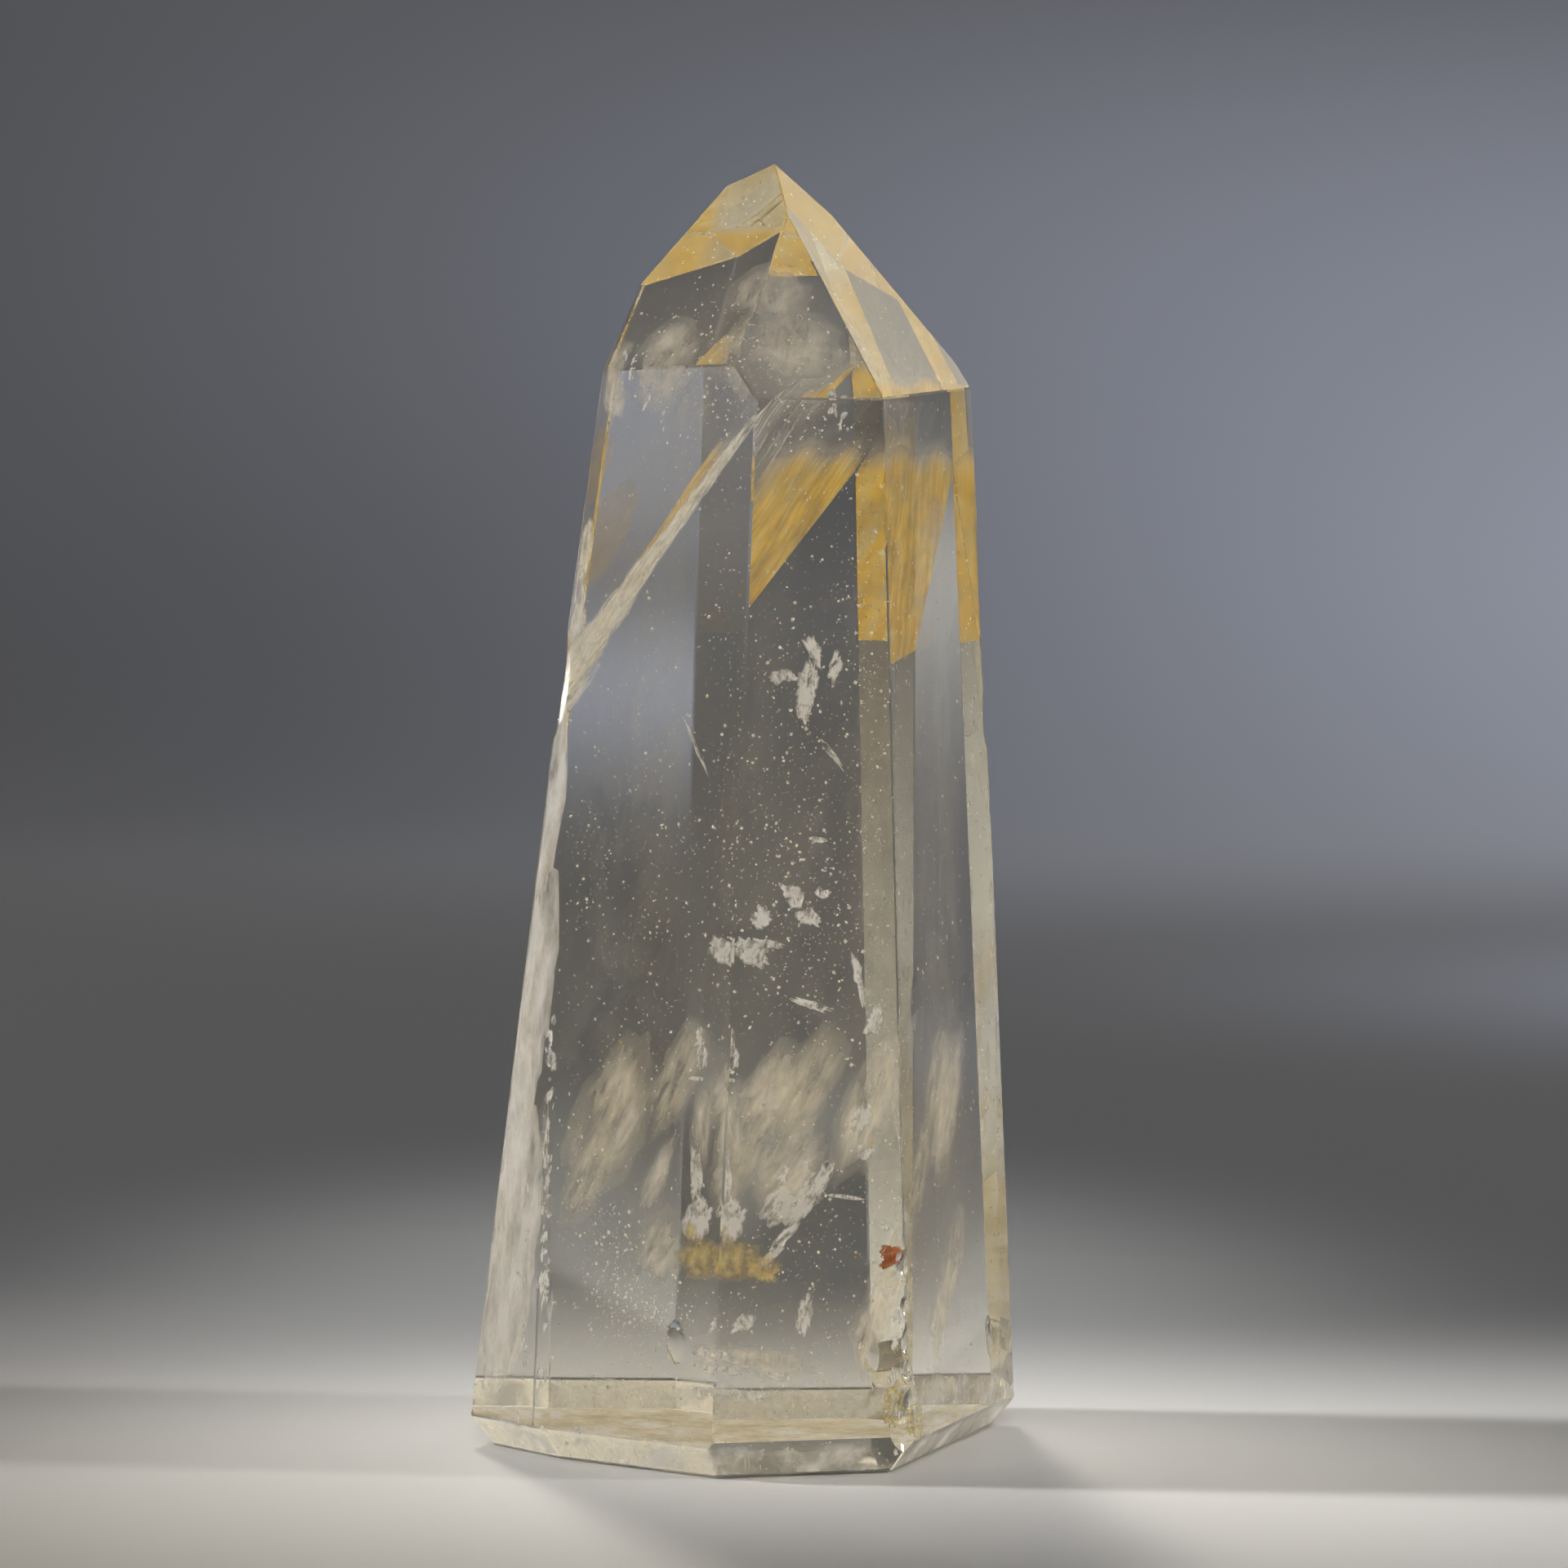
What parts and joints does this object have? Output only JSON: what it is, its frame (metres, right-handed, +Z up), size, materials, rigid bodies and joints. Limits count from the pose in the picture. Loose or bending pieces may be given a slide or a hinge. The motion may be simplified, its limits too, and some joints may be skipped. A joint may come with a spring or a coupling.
{
  "type": "citrine crystal point",
  "caption": "Clear pale citrine crystal point: a tapering, ground and polished prism with a faceted tip, standing on its flat cut base, with veils, golden stains and flecks inside.",
  "frame": {"origin": "in the flat cut base, under the middle of the crystal's bounding box", "axes": "+Z up from the cut base to the tip; the two broad front faces look towards -Y; +X to the right seen from the front"},
  "size_m": [0.0282, 0.0294, 0.0659],
  "materials": {
    "citrine": "polished clear quartz, very pale smoky yellow",
    "healed_fracture": "silvery white veils, flakes and specks sealed in the crystal",
    "iron_stain": "golden to rusty iron stain sealed in the crystal"
  },
  "bodies": {
    "root": {"crystal_point": "citrine"}
  },
  "joints": []
}
